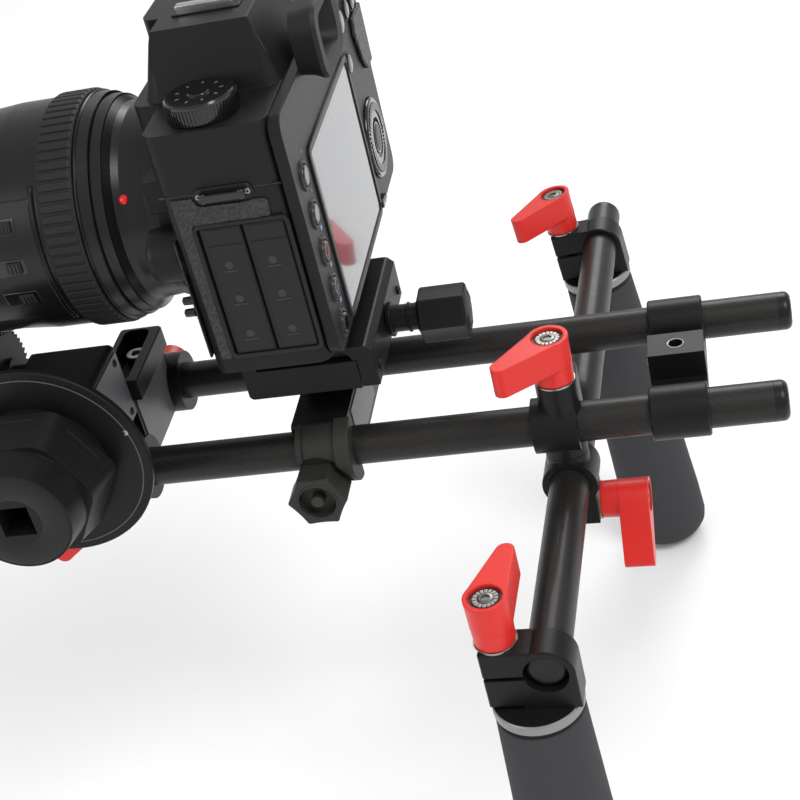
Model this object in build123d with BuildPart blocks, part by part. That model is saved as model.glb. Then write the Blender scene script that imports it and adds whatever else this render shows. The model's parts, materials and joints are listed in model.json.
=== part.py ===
from build123d import *
from math import atan2, cos, pi, radians, sin, sqrt
import os

os.makedirs("parts", exist_ok=True)

# Camera shoulder rig, in millimetres. +X points to the rear of the rig, -Y to its left side, +Z up.
# The origin is on the tripod thread of the base block, at the height of the two rods' axes.

# ---------------------------------------------------------------- driving dimensions
rod_r = 7.5                 # 15 mm rods
rod_y = 30.0                # rods stand 60 mm apart
rod_length = 305.0
rod_wall = 1.25
running = 0.05              # radial clearance of a sliding or turning fit
near_tip = 173.0            # rear end of the left rod
far_tip = 178.5             # rear end of the right rod
cap_length = 5.0

bridge_front, bridge_back = 124.0, 145.0
bridge_collar_r = 10.0

block_half = 10.8           # base block, half of its length along the rods
block_top, block_bottom = 10.0, -13.5
stud_x, stud_z = -1.2, -9.8   # clamp stud passes under the left rod
thread_r = 2.6              # 1/4-20 thread, minor radius
base_knob_r, qr_knob_r = 12.7, 11.7

qr_front, qr_back = -24.0, 20.0
qr_left, qr_right = -25.0, 41.0
qr_floor, qr_seat, qr_top = 22.0, 34.0, 40.0
qr_axis_y, qr_axis_z = 8.0, 30.5
qr_knob_start = 40.4

cross_x = 91.4              # where the cross bar passes under the left rod
cross_drop = 23.0           # height from the rod's axis down to the bar's axis
cross_yaw = 2.7             # degrees the bar is swivelled about the vertical
bar_near, bar_far = -105.0, 203.0
clamp_r = 10.3              # outer radius of the two small collars
lever_height = 18.0
lever_reach = 23.0

handle_near_s, handle_far_s = -99.5, 177.5
handle_near_lean, handle_far_lean = 0.5, 5.9

lens_z = 98.0               # lens axis above the rods' axes
camera_bottom = 55.0
camera_left, camera_right = -57.0, 92.0
body_front, body_back = -21.0, 25.0
shoulder_z = 124.0
top_z = 146.0

focus_x, focus_z = -91.5, 31.5   # axis of the follow-focus wheel
gear_module = 0.8
drive_teeth, ring_teeth = 43, 106
drive_y = -14.0
focus_lever_x = -86.0



def save(piece, node):
    piece.part.label = node
    export_step(piece.part, "parts/" + node + ".step")


def frame_at(x, y, z, yaw=0.0, lean=0.0):
    """A plane with its origin at x, y, z, turned by yaw about +Z and then leaned about its own Y."""
    side = Vector(cos(radians(yaw)), -sin(radians(yaw)), 0)
    up = Vector(0, 0, 1)
    x_dir = side * cos(radians(lean)) + up * sin(radians(lean))
    z_dir = up * cos(radians(lean)) - side * sin(radians(lean))
    return Plane(origin=(x, y, z), x_dir=x_dir, z_dir=z_dir)


def facing_y(frame, y=0.0):
    """Sketch plane of a frame with coordinates (x, z) and its normal along -Y of the frame."""
    return Plane(origin=frame.from_local_coords((0, y, 0)), x_dir=frame.x_dir, z_dir=-frame.y_dir)


def facing_x(frame, x=0.0):
    """Sketch plane of a frame with coordinates (y, z) and its normal along +X of the frame."""
    return Plane(origin=frame.from_local_coords((x, 0, 0)), x_dir=frame.y_dir, z_dir=frame.x_dir)


def facing_z(frame, z=0.0):
    return Plane(origin=frame.from_local_coords((0, 0, z)), x_dir=frame.x_dir, z_dir=frame.z_dir)


world = Plane.XY


def across(x):
    """Plane across the rods at a station x, with coordinates (Y, Z)."""
    return facing_x(world, x)


def revolved(profile, axis_plane):
    """Solid of revolution: profile is a list of (along, radius) about the plane's own X axis."""
    with BuildPart() as solid:
        with BuildSketch(axis_plane):
            with BuildLine():
                Polyline(*profile, close=True)
            make_face()
        revolve(axis=Axis(axis_plane.origin, axis_plane.x_dir))
    return solid


# ---------------------------------------------------------------- rods and their rear bridge
def rod(y, tip, node):
    length = rod_length - 2 * cap_length
    with BuildPart() as tube:
        with BuildSketch(across(tip - cap_length)):
            with Locations((y, 0)):
                Circle(rod_r)
                Circle(rod_r - rod_wall, mode=Mode.SUBTRACT)
        extrude(amount=-length)
    save(tube, node)


def end_cap_profile(inner_r):
    """Domed plug for the end of a 15 mm tube: (along, radius), seam at 0, dome towards +X."""
    dome = []
    for step in range(7):
        angle = radians(15 * step)
        dome.append((cap_length - 2.6 + 2.6 * sin(angle), rod_r - 2.6 + 2.6 * cos(angle)))
    return [(-10, 0), (-10, inner_r), (0, inner_r), (0, rod_r)] + dome + [(cap_length, 0)]


rod(-rod_y, near_tip, "rod_left")
rod(rod_y, far_tip, "rod_right")

with BuildPart() as rod_end_caps:
    plug_r = rod_r - rod_wall - running
    for y, tip in ((-rod_y, near_tip), (rod_y, far_tip)):
        for seam, way in ((tip - cap_length, 1), (tip + cap_length - rod_length, -1)):
            cap_plane = Plane(origin=(seam, y, 0), x_dir=(way, 0, 0), z_dir=(0, -1, 0))
            with BuildSketch(cap_plane):
                with BuildLine():
                    Polyline(*end_cap_profile(plug_r), close=True)
                make_face()
            revolve(axis=Axis(cap_plane.origin, cap_plane.x_dir))
save(rod_end_caps, "rod_end_caps")

with BuildPart() as rear_bridge:
    bridge_length = bridge_back - bridge_front
    with BuildSketch(across(bridge_front)):
        with Locations((-rod_y, 0), (rod_y, 0)):
            Circle(bridge_collar_r)
        with Locations((0, -4.5)):
            Rectangle(2 * rod_y, 7)
        with Locations((0, 1)):
            Rectangle(14.8, 18)
        with Locations((-rod_y, 0), (rod_y, 0)):
            Circle(rod_r + 0.02, mode=Mode.SUBTRACT)
    extrude(amount=bridge_length)
    chamfer(rear_bridge.edges().filter_by(GeomType.CIRCLE).filter_by(lambda e: e.radius > 9), 0.6)
    with Locations(Plane.XY.offset(10).shift_origin(Vector((bridge_front + bridge_back) / 2, 0, 10))):
        Hole(thread_r)
save(rear_bridge, "rear_bridge")

# ---------------------------------------------------------------- base block and its clamp jaw
with BuildPart() as base_block:
    with BuildSketch(across(-block_half)):
        with Locations((1.3, (block_top + block_bottom) / 2)):
            Rectangle(59.4, block_top - block_bottom)
        chamfer(vertices().group_by(Axis.Y)[-1], 1.0)
        with Locations((rod_y, 0)):
            Circle(10.0)
        with Locations((-rod_y, 0), (rod_y, 0)):
            Circle(rod_r + running, mode=Mode.SUBTRACT)
    extrude(amount=2 * block_half)
    with BuildSketch(facing_y(world, -28.4)):
        with Locations((stud_x, stud_z)):
            Circle(2.0 + running)
    extrude(amount=-23, mode=Mode.SUBTRACT)
    with Locations(Plane.XY.shift_origin(Vector(0, 0, 0))):
        Hole(thread_r)
save(base_block, "base_block")

with BuildPart() as base_jaw:
    jaw_sections = ((-7.7, 2.2, 12.2), (-5.5, 12.9, 11.2), (7.4, 5.9, 13.4))
    for start, width, radius in jaw_sections:
        with BuildSketch(across(start)):
            with Locations((-rod_y, 0)):
                Circle(radius)
            with Locations((-rod_y - 3.4, -7)):
                Rectangle(6.8, 9)
            with Locations((-rod_y + 10, 0)):
                Rectangle(20.4, 40, mode=Mode.SUBTRACT)
            with Locations((-rod_y, 0)):
                Circle(rod_r + 2 * running, mode=Mode.SUBTRACT)
        extrude(amount=width)
    with BuildSketch(facing_y(world, -39.5)):
        with Locations((stud_x, stud_z)):
            Circle(7.6)
    extrude(amount=-9.2)
    with BuildSketch(facing_y(world, -50)):
        with Locations((stud_x, stud_z)):
            Circle(base_knob_r + 0.4)
    extrude(amount=-10.5, mode=Mode.SUBTRACT)
    with BuildSketch(across(-10)):
        with Locations((-rod_y, 0)):
            Circle(rod_r + 2 * running)
    extrude(amount=26, mode=Mode.SUBTRACT)
    with BuildSketch(facing_y(world, -45)):
        with Locations((stud_x, stud_z)):
            Circle(2.0 + running)
    extrude(amount=-20, mode=Mode.SUBTRACT)
save(base_jaw, "base_jaw")


def fluted_hex(radius, hollow):
    """Hexagon with rounded corners and shallow hollow sides, in the current sketch."""
    RegularPolygon(radius, 6)
    with PolarLocations(radius * cos(radians(30)) + 3.2 * radius - hollow, 6, start_angle=30):
        Circle(3.2 * radius, mode=Mode.SUBTRACT)


with BuildPart() as base_knob:
    knob_face = facing_y(frame_at(stud_x, 0, stud_z), -50.7)
    with BuildSketch(knob_face):
        fluted_hex(base_knob_r, 1.2)
        fillet(vertices(), 1.2)
    extrude(amount=-11.0)
    chamfer(base_knob.faces().sort_by(Axis.Y)[0].edges(), 0.5)
    with BuildSketch(knob_face):
        Circle(7.0)
        Circle(2.4, mode=Mode.SUBTRACT)
    extrude(amount=-4.0, mode=Mode.SUBTRACT)
    with BuildSketch(facing_y(frame_at(stud_x, 0, stud_z), -39.7)):
        Circle(2.0)
    extrude(amount=-32)
save(base_knob, "base_knob")

# ---------------------------------------------------------------- riser and quick-release clamp
with BuildPart() as riser:
    with BuildSketch(Plane.XY.offset(block_top)):
        with Locations((0, 13)):
            Rectangle(2 * block_half, 28)
    extrude(amount=qr_floor - block_top)
    fillet(riser.edges().filter_by(Axis.Z), 2)
    with Locations(Plane.XY.offset(qr_floor).shift_origin(Vector(0, 13, qr_floor))):
        with GridLocations(14, 14, 2, 2):
            Hole(1.6)
save(riser, "riser")

with BuildPart() as qr_base:
    with BuildSketch(facing_y(world, qr_left)):
        with BuildLine():
            Polyline(
                (qr_front, qr_floor), (qr_back, qr_floor), (qr_back, qr_seat), (-18.4, qr_seat),
                (-18.4, 35.8), (-14.9, 38.8), (-14.9, qr_top), (qr_front, qr_top), close=True,
            )
        make_face()
    extrude(amount=qr_left - qr_right)
    fillet(qr_base.edges().filter_by(Axis.Y).group_by(Axis.X)[0], 2.0)
    with BuildSketch(across(qr_back)):
        with Locations((qr_axis_y, qr_axis_z)):
            Circle(2.0 + running)
    extrude(amount=-26, mode=Mode.SUBTRACT)
save(qr_base, "qr_base")

with BuildPart() as qr_jaw:
    with BuildSketch(facing_y(world, qr_left)):
        with BuildLine():
            Polyline(
                (20.3, 22.6), (27.0, 22.6), (27.0, 37.4), (24.4, qr_top), (17.0, qr_top), (14.9, 39.3),
                (14.9, 38.8), (18.4, 35.8), (18.4, qr_seat + 0.3), (20.3, qr_seat + 0.3), close=True,
            )
        make_face()
    extrude(amount=qr_left - qr_right)
    fillet(qr_jaw.edges().filter_by(Axis.Y).group_by(Axis.Z)[-1], 2.0)
    with BuildSketch(across(28)):
        with Locations((qr_axis_y, qr_axis_z)):
            Circle(2.0 + running)
    extrude(amount=-10, mode=Mode.SUBTRACT)
save(qr_jaw, "qr_jaw")

with BuildPart() as qr_knob:
    with BuildSketch(Plane(origin=(qr_knob_start, qr_axis_y, qr_axis_z), x_dir=(0, 1, 0), z_dir=(1, 0, 0))):
        fluted_hex(qr_knob_r, 1.0)
        fillet(vertices(), 1.2)
    extrude(amount=18.4)
    chamfer(qr_knob.faces().sort_by(Axis.X)[-1].edges(), 0.8)
    chamfer(qr_knob.faces().sort_by(Axis.X)[0].edges(), 0.8)
    with BuildSketch(across(27.3)):
        with Locations((qr_axis_y, qr_axis_z)):
            Circle(5.25)
    extrude(amount=qr_knob_start - 27.2)
    with BuildSketch(across(27.5)):
        with Locations((qr_axis_y, qr_axis_z)):
            Circle(2.0)
    extrude(amount=-30)
save(qr_knob, "qr_knob")

# ---------------------------------------------------------------- camera plate and camera
with BuildPart() as camera_plate:
    with BuildSketch(facing_y(world, -22)):
        with BuildLine():
            Polyline(
                (-17.9, qr_seat + 0.6), (17.9, qr_seat + 0.6), (17.9, 35.6), (14.4, 38.6), (14.4, 41.4),
                (19.0, 43.0), (19.0, camera_bottom), (-22.0, camera_bottom), (-22.0, 43.0), (-14.4, 41.4),
                (-14.4, 38.6), (-17.9, 35.6), close=True,
            )
        make_face()
    extrude(amount=-60)
    fillet(camera_plate.edges().filter_by(Axis.Z), 2.0)
save(camera_plate, "camera_plate")

with BuildPart() as camera_body:
    with BuildSketch(Plane.XY.offset(camera_bottom)):
        with Locations((0, (camera_left + camera_right) / 2)):
            Rectangle(2 * -body_front, camera_right - camera_left)
        with Locations((-34, 74)):
            Rectangle(34, 36)
        fillet(vertices(), 5.0)
    extrude(amount=shoulder_z - camera_bottom)
    with BuildSketch(across(body_front + 1)):
        with Locations((0, lens_z)):
            Circle(38)
        with Locations((0, 118)):
            Rectangle(84, 11.8)
        with Locations((-45, lens_z)):
            Circle(9.5)
        with Locations((0, shoulder_z + 25)):
            Rectangle(120, 50, mode=Mode.SUBTRACT)
    extrude(amount=-11.5)
    with BuildSketch(facing_y(world, camera_left)):
        with Locations((3.5, 87.2)):
            Rectangle(30.4, 49.2)
    extrude(amount=-2.6, mode=Mode.SUBTRACT)
    with BuildSketch(Plane.XY.offset(camera_bottom)):
        with Locations((-8, 73)):
            Rectangle(22.4, 28.4)
    extrude(amount=2.2, mode=Mode.SUBTRACT)
    with BuildSketch(across(body_front - 10.5)):
        with Locations((-45, lens_z)):
            Circle(7.4)
    extrude(amount=6.0, mode=Mode.SUBTRACT)
    with BuildSketch(across(body_front - 10.5)):
        with Locations((0, lens_z)):
            Circle(26)
    extrude(amount=20, mode=Mode.SUBTRACT)
save(camera_body, "camera_body")

with BuildPart() as camera_back:
    with BuildSketch(across(-body_front)):
        with Locations(((camera_left + camera_right) / 2, (camera_bottom + top_z) / 2)):
            Rectangle(camera_right - camera_left - 1, top_z - camera_bottom - 1)
        fillet(vertices(Select.ALL), 6)
    extrude(amount=body_back + body_front)
    with BuildSketch(across(body_back)):
        with Locations((8, 90)):
            Rectangle(78.4, 62.4)
    extrude(amount=-1.2, mode=Mode.SUBTRACT)
    with BuildSketch(across(body_back)):
        for number in range(5):
            with Locations((-44.5, 62.5 + 14.3 * number)):
                Circle(3.8)
        with Locations((67, 80)):
            Circle(16.3)
    extrude(amount=-3.0, mode=Mode.SUBTRACT)
save(camera_back, "camera_back")

with BuildPart() as camera_top:
    with BuildSketch(Plane.XY.offset(shoulder_z)):
        with Locations((0, (camera_left + camera_right) / 2)):
            Rectangle(2 * -body_front, camera_right - camera_left)
        with Locations((-34, 74)):
            Rectangle(34, 36)
        with Locations((-25.3, 0)):
            Rectangle(12, 60)
        fillet(vertices(), 5.0)
    extrude(amount=top_z - shoulder_z)
    with BuildSketch(Plane.XY.offset(top_z)):
        with Locations((-3, 0)):
            Rectangle(48, 58)
        fillet(vertices(Select.ALL), 6)
    extrude(amount=22, taper=18)
    with BuildSketch(Plane.XY.offset(top_z)):
        with Locations((-2, -43)):
            Circle(4.0)
        with Locations((-36, 74)):
            Circle(5.2)
    extrude(amount=-6, mode=Mode.SUBTRACT)
save(camera_top, "camera_top")


def port_cover(x_low, x_high, node):
    """Rubber flap that opens outwards about its rounded front edge."""
    with BuildPart() as cover:
        with BuildSketch(Plane.XY.offset(62.9)):
            with Locations(((x_low + x_high) / 2, camera_left + 0.95)):
                Rectangle(x_high - x_low, 2.9)
            fillet(vertices().group_by(Axis.X)[0], 1.4)
            fillet(vertices().group_by(Axis.X)[-1].sort_by(Axis.Y)[0], 0.8)
        extrude(amount=48.6)
    save(cover, node)


port_cover(-11.4, 3.3, "port_cover_front")
port_cover(3.7, 18.4, "port_cover_rear")

with BuildPart() as screen_glass:
    with BuildSketch(across(body_back - 1.2)):
        with Locations((8, 90)):
            Rectangle(78, 62)
        fillet(vertices(Select.ALL), 2)
    extrude(amount=1.6)
    chamfer(screen_glass.faces().sort_by(Axis.X)[-1].edges(), 0.4)
save(screen_glass, "screen_glass")

for number in range(5):
    with BuildPart() as back_button:
        with BuildSketch(across(body_back - 1.6)):
            with Locations((-44.5, 62.5 + 14.3 * number)):
                Circle(3.6)
        extrude(amount=2.8)
        fillet(back_button.faces().sort_by(Axis.X)[-1].edges(), 0.7)
    save(back_button, "back_button_" + str(number + 1))

with BuildPart() as rear_dial:
    with BuildSketch(across(body_back - 2.7)):
        with Locations((67, 80)):
            Circle(16)
    extrude(amount=4.2)
    fillet(rear_dial.faces().sort_by(Axis.X)[-1].edges(), 1.2)
    with BuildSketch(across(body_back + 1.5)):
        with Locations((67, 80)):
            Circle(8)
            Circle(6.2, mode=Mode.SUBTRACT)
    extrude(amount=-1.0, mode=Mode.SUBTRACT)
save(rear_dial, "rear_dial")

with BuildPart() as mode_dial:
    with BuildSketch(Plane.XY.offset(top_z + 0.3)):
        with Locations((-2, -43)):
            Circle(12)
    extrude(amount=7)
    chamfer(mode_dial.faces().sort_by(Axis.Z)[-1].edges(), 0.6)
    with BuildSketch(Plane.XY.offset(top_z + 0.3)):
        with Locations((-2, -43)):
            Circle(3.9)
    extrude(amount=-5)
save(mode_dial, "mode_dial")

with BuildPart() as shutter_button:
    with BuildSketch(Plane.XY.offset(top_z - 3.5)):
        with Locations((-36, 74)):
            Circle(5.0)
    extrude(amount=6)
    fillet(shutter_button.faces().sort_by(Axis.Z)[-1].edges(), 1.5)
save(shutter_button, "shutter_button")

with BuildPart() as lens_release:
    with BuildSketch(across(body_front - 6.7)):
        with Locations((-45, lens_z)):
            Circle(7.2)
    extrude(amount=-6.6)
    fillet(lens_release.faces().sort_by(Axis.X)[0].edges(), 1.0)
save(lens_release, "lens_release")

with BuildPart() as battery_door:
    with BuildSketch(facing_y(world, 59)):
        with Locations((-8, camera_bottom + 1)):
            Rectangle(22, 2.0)
        fillet(vertices().group_by(Axis.X)[0], 0.95)
    extrude(amount=-28)
save(battery_door, "battery_door")

# ---------------------------------------------------------------- lens, turned about its axis
lens_axis = Plane(origin=(0, 0, lens_z), x_dir=(1, 0, 0), z_dir=(0, -1, 0))
mount_x = body_front - 10.5
zoom_front, zoom_back = -72.4, -59.0
ring_front, ring_back = -128.0, -116.0
lens_front = -136.0
seat_r = 39.5

lens_mount = revolved(
    [(mount_x, 27), (mount_x, 34), (mount_x - 4, 34), (mount_x - 4, 27)], lens_axis
)
save(lens_mount, "lens_mount")

lens_barrel = revolved(
    [
        (mount_x - 4, 24), (mount_x - 4, 35), (-41.4, 35.6), (-44.5, 35.9), (-47, 36.9), (-49.3, 39.2),
        (-49.5, 39.8), (-53.8, 40.4), (-54, 41.1), (-58, 42.1), (zoom_back + 0.4, 42.1),
        (zoom_back + 0.4, seat_r), (zoom_front - 0.4, seat_r), (zoom_front - 0.4, 42.0), (-88, 42.0),
        (-103, 40.8), (ring_back + 0.4, 40.8), (ring_back + 0.4, seat_r), (ring_front - 0.4, seat_r),
        (ring_front - 0.4, 41.5), (lens_front, 41.5), (lens_front, 37), (lens_front + 7, 34),
        (lens_front + 7, 24),
    ],
    lens_axis,
)
save(lens_barrel, "lens_barrel")

zoom_ring = revolved(
    [(zoom_back, seat_r + running), (zoom_back, 42.8), (zoom_front, 42.8), (zoom_front, seat_r + running)],
    lens_axis,
)
save(zoom_ring, "zoom_ring")

lens_glass = revolved(
    [(lens_front + 10, 0), (lens_front + 10, 23.9), (lens_front + 7, 23.9), (lens_front + 3.4, 0)], lens_axis
)
save(lens_glass, "lens_glass")


def gear_points(teeth, turn):
    """Outline of a spur gear with straight-sided teeth; a tooth stands at the angle turn."""
    pitch_r = gear_module * teeth / 2
    levels = (
        (pitch_r - 1.0, -0.42), (pitch_r, -0.235), (pitch_r + 0.7, -0.13),
        (pitch_r + 0.7, 0.13), (pitch_r, 0.235), (pitch_r - 1.0, 0.42),
    )
    points = []
    for tooth in range(teeth):
        for radius, share in levels:
            angle = turn + 2 * pi * (tooth + share) / teeth
            points.append((radius * cos(angle), radius * sin(angle)))
    return points


mesh_distance = gear_module * (drive_teeth + ring_teeth) / 2 + 0.12
drive_z = lens_z - sqrt(mesh_distance ** 2 - drive_y ** 2)
mesh_angle = atan2(drive_z - lens_z, drive_y)

with BuildPart() as focus_ring:
    with BuildSketch(Plane(origin=(ring_front, 0, lens_z), x_dir=(0, 1, 0), z_dir=(1, 0, 0))):
        with BuildLine():
            Polyline(*gear_points(ring_teeth, mesh_angle + pi / ring_teeth), close=True)
        make_face()
        Circle(seat_r + running, mode=Mode.SUBTRACT)
    extrude(amount=ring_back - ring_front)
save(focus_ring, "focus_ring")

# ---------------------------------------------------------------- follow focus
with BuildPart() as focus_bracket:
    with BuildSketch(across(-92)):
        with Locations((5.5, 8)):
            Rectangle(43, 28)
        with Locations((0, -0.5)):
            Rectangle(60, 13)
        chamfer(vertices().group_by(Axis.Y)[0], 3)
    extrude(amount=18)
    with BuildSketch(across(-92)):
        with Locations((-rod_y, 0), (rod_y, 0)):
            Circle(12.5)
    extrude(amount=23)
    with BuildSketch(across(-93)):
        with Locations((-rod_y, 0), (rod_y, 0)):
            Circle(rod_r + running)
    extrude(amount=26, mode=Mode.SUBTRACT)
    with BuildSketch(facing_y(world, -48)):
        with Locations((focus_lever_x, 2)):
            Circle(2.0 + running)
    extrude(amount=-11.8, mode=Mode.SUBTRACT)
    with BuildSketch(facing_y(world, 48)):
        with Locations((focus_lever_x, -8)):
            Circle(2.0 + running)
    extrude(amount=11.8, mode=Mode.SUBTRACT)
save(focus_bracket, "focus_bracket")

with BuildPart() as focus_arm:
    with BuildSketch(Plane.XY.offset(22.2)):
        with Locations((-79, 4.6)):
            Rectangle(18, 41.2)
        fillet(vertices().group_by(Axis.Y)[-1], 2.0)
        with Locations((-79.7, 4.2)):
            RectangleRounded(11, 38, 3.5, mode=Mode.SUBTRACT)
    extrude(amount=8.8)
    chamfer(focus_arm.faces().sort_by(Axis.Z)[-1].outer_wire().edges(), 0.6)
save(focus_arm, "focus_arm")

with BuildPart() as focus_gearbox:
    with BuildSketch(facing_y(world, -63)):
        with Locations((-91.5, 31.8)):
            Rectangle(35, 33.4)
        fillet(vertices(), 2.5)
    extrude(amount=-47)
    with BuildSketch(facing_y(world, -63.6)):
        with Locations((focus_x, focus_z)):
            Circle(6)
    extrude(amount=-1.0)
    with BuildSketch(facing_y(world, -66)):
        with Locations((focus_x, focus_z)):
            Circle(4.0 + running)
    extrude(amount=-34, mode=Mode.SUBTRACT)
    with BuildSketch(across(-112)):
        with Locations((drive_y, drive_z)):
            Circle(3.0 + running)
    extrude(amount=18, mode=Mode.SUBTRACT)
save(focus_gearbox, "focus_gearbox")

with BuildPart() as focus_disc:
    with BuildSketch(facing_y(world, -67)):
        with Locations((focus_x, focus_z)):
            Circle(40)
            Circle(4.0 + running, mode=Mode.SUBTRACT)
    extrude(amount=-3)
    chamfer(focus_disc.edges().filter_by(GeomType.CIRCLE).group_by(SortBy.RADIUS)[-1], 0.5)
save(focus_disc, "focus_disc")

with BuildPart() as focus_wheel:
    wheel_plane = frame_at(focus_x, 0, focus_z)
    with BuildSketch(facing_y(wheel_plane, -72)):
        RegularPolygon(30, 6)
        fillet(vertices(), 7)
    with BuildSketch(facing_y(wheel_plane, -88)):
        RegularPolygon(26, 6)
        fillet(vertices(), 9)
    loft()
    with BuildSketch(facing_y(wheel_plane, -88)):
        Circle(22)
    with BuildSketch(facing_y(wheel_plane, -100)):
        Circle(20)
    loft()
    with BuildSketch(facing_y(wheel_plane, -72)):
        Circle(25)
    extrude(amount=-4.7)
    with BuildSketch(facing_y(wheel_plane, -68)):
        Circle(4.0)
    extrude(amount=-30)
    with BuildSketch(facing_y(wheel_plane, -100)):
        Rectangle(12, 12)
    extrude(amount=-14, mode=Mode.SUBTRACT)
save(focus_wheel, "focus_wheel")

with BuildPart() as drive_gear:
    with BuildSketch(Plane(origin=(-127, drive_y, drive_z), x_dir=(0, 1, 0), z_dir=(1, 0, 0))):
        with BuildLine():
            Polyline(*gear_points(drive_teeth, mesh_angle + pi), close=True)
        make_face()
    extrude(amount=7)
    with BuildSketch(Plane(origin=(-120, drive_y, drive_z), x_dir=(0, 1, 0), z_dir=(1, 0, 0))):
        Circle(6)
    extrude(amount=2.6)
    with BuildSketch(Plane(origin=(-117.6, drive_y, drive_z), x_dir=(0, 1, 0), z_dir=(1, 0, 0))):
        Circle(3.0)
    extrude(amount=15)
save(drive_gear, "drive_gear")


# ---------------------------------------------------------------- clamp levers
def lever(frame, node, insert_node=None, reach=lever_reach, stud=9.0):
    """Clamp lever on the frame's Z axis, arm along the frame's X, with its steel insert and washer.

    Without an insert node the steel parts belong to the lever itself.
    """
    base = 0.9
    arm_base = base + lever_height - 11.2
    with BuildPart() as handle:
        with BuildSketch(facing_z(frame, base)):
            Circle(7.0)
        extrude(amount=lever_height, taper=-1.5)
        with BuildSketch(facing_z(frame, arm_base)):
            with BuildLine():
                hub_r, tip_r = 7.3, 3.3
                flare = atan2(sqrt(reach ** 2 - (hub_r - tip_r) ** 2), hub_r - tip_r)
                start = (hub_r * cos(flare), hub_r * sin(flare))
                end = (reach + tip_r * cos(flare), tip_r * sin(flare))
                Line(start, end)
                ThreePointArc(end, (reach + tip_r, 0), (end[0], -end[1]))
                Line((end[0], -end[1]), (start[0], -start[1]))
                ThreePointArc((start[0], -start[1]), (-hub_r, 0), start)
            make_face()
        extrude(amount=11.2)
        with BuildSketch(facing_z(frame, base + lever_height)):
            Circle(5.7)
        extrude(amount=-3.4, mode=Mode.SUBTRACT)
        with BuildSketch(facing_z(frame, 0)):
            Circle(2.6)
        extrude(amount=lever_height + 1, mode=Mode.SUBTRACT)
        if insert_node is None:
            with BuildSketch(facing_z(frame, -stud)):
                Circle(2.0)
            extrude(amount=stud + lever_height - 1.5)
    save(handle, node)
    if insert_node is None:
        return
    with BuildPart() as insert:
        with BuildSketch(facing_z(frame, 0)):
            Circle(7.4)
        extrude(amount=0.8)
        with BuildSketch(facing_z(frame, -stud)):
            Circle(2.5)
        extrude(amount=stud + lever_height - 2)
        with BuildSketch(facing_z(frame, base + lever_height - 3.3)):
            Circle(5.4)
        extrude(amount=2.2)
        with BuildSketch(facing_z(frame, base + lever_height - 1.1)):
            RegularPolygon(2.3, 6)
        extrude(amount=-2.0, mode=Mode.SUBTRACT)
    save(insert, insert_node)


def seat(frame, x, z):
    """The frame moved to x, z in its own coordinates."""
    return Plane(origin=frame.from_local_coords((x, 0, z)), x_dir=frame.x_dir, z_dir=frame.z_dir)


def turned(frame, angle):
    """The frame turned about its own Z by angle degrees."""
    x_dir = frame.x_dir * cos(radians(angle)) + frame.y_dir * sin(radians(angle))
    return Plane(origin=frame.origin, x_dir=x_dir, z_dir=frame.z_dir)


# ---------------------------------------------------------------- rod clamp and bar clamp
rod_clamp_frame = frame_at(cross_x, -rod_y, 0)
rod_lever_seat = 19.2
boss_x = 0.5                # the lever's boss stands a little behind the middle of the collar

with BuildPart() as rod_clamp:
    with BuildSketch(facing_x(rod_clamp_frame, -10.4)):
        Circle(clamp_r)
    extrude(amount=16.7)
    with BuildSketch(facing_z(rod_clamp_frame, 0)):
        with Locations((boss_x, 0)):
            Circle(7.6)
        with Locations((boss_x, 5.5)):
            Rectangle(14.8, 11)
        fillet(vertices().group_by(Axis.Y)[-1], 2.0)
    extrude(amount=rod_lever_seat)
    with BuildSketch(facing_z(rod_clamp_frame, 0)):
        Circle(8.0)
    extrude(amount=-11.4)
    with BuildSketch(facing_x(rod_clamp_frame, -12)):
        Circle(rod_r + running)
    extrude(amount=24, mode=Mode.SUBTRACT)
    with BuildSketch(facing_z(rod_clamp_frame, rod_lever_seat)):
        with Locations((boss_x, 0)):
            Circle(2.5 + running)
    extrude(amount=-11, mode=Mode.SUBTRACT)
    with BuildSketch(facing_z(rod_clamp_frame, -11.4)):
        Circle(3.0)
    extrude(amount=-3.0)
save(rod_clamp, "rod_clamp")

bar_frame = frame_at(cross_x, -rod_y, -cross_drop, yaw=cross_yaw)
bar_lever_x, bar_lever_z = 8.8, -13.4
bar_lever_turn = -35.0      # the bar's lever hangs this far to the left of straight down

with BuildPart() as bar_clamp:
    with BuildSketch(facing_y(bar_frame, -8)):
        Circle(clamp_r)
        with Locations((bar_lever_x / 2 - 0.75, -9.25)):
            Rectangle(bar_lever_x + 1.5, 18.5)
        with Locations((-4.35, -9.25)):
            Rectangle(5.7, 18.5)
    extrude(amount=-16)
    with BuildSketch(facing_z(bar_frame, 0)):
        Circle(8.0)
    extrude(amount=cross_drop - 11.6)
    with BuildSketch(facing_y(bar_frame, -12)):
        Circle(rod_r + running)
        with Locations((0, -14)):
            Rectangle(3.0, 20)
    extrude(amount=-24, mode=Mode.SUBTRACT)
    with BuildSketch(facing_z(bar_frame, cross_drop - 11.6)):
        Circle(3.0 + running)
    extrude(amount=-4.2, mode=Mode.SUBTRACT)
    with BuildSketch(facing_x(bar_frame, bar_lever_x)):
        with Locations((0, bar_lever_z)):
            Circle(2.5 + running)
    extrude(amount=-24, mode=Mode.SUBTRACT)
save(bar_clamp, "bar_clamp")

# ---------------------------------------------------------------- cross bar
with BuildPart() as cross_bar:
    with BuildSketch(facing_y(bar_frame, bar_near + cap_length)):
        Circle(rod_r)
        Circle(rod_r - rod_wall, mode=Mode.SUBTRACT)
    extrude(amount=bar_near + 2 * cap_length - bar_far)
save(cross_bar, "cross_bar")

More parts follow.
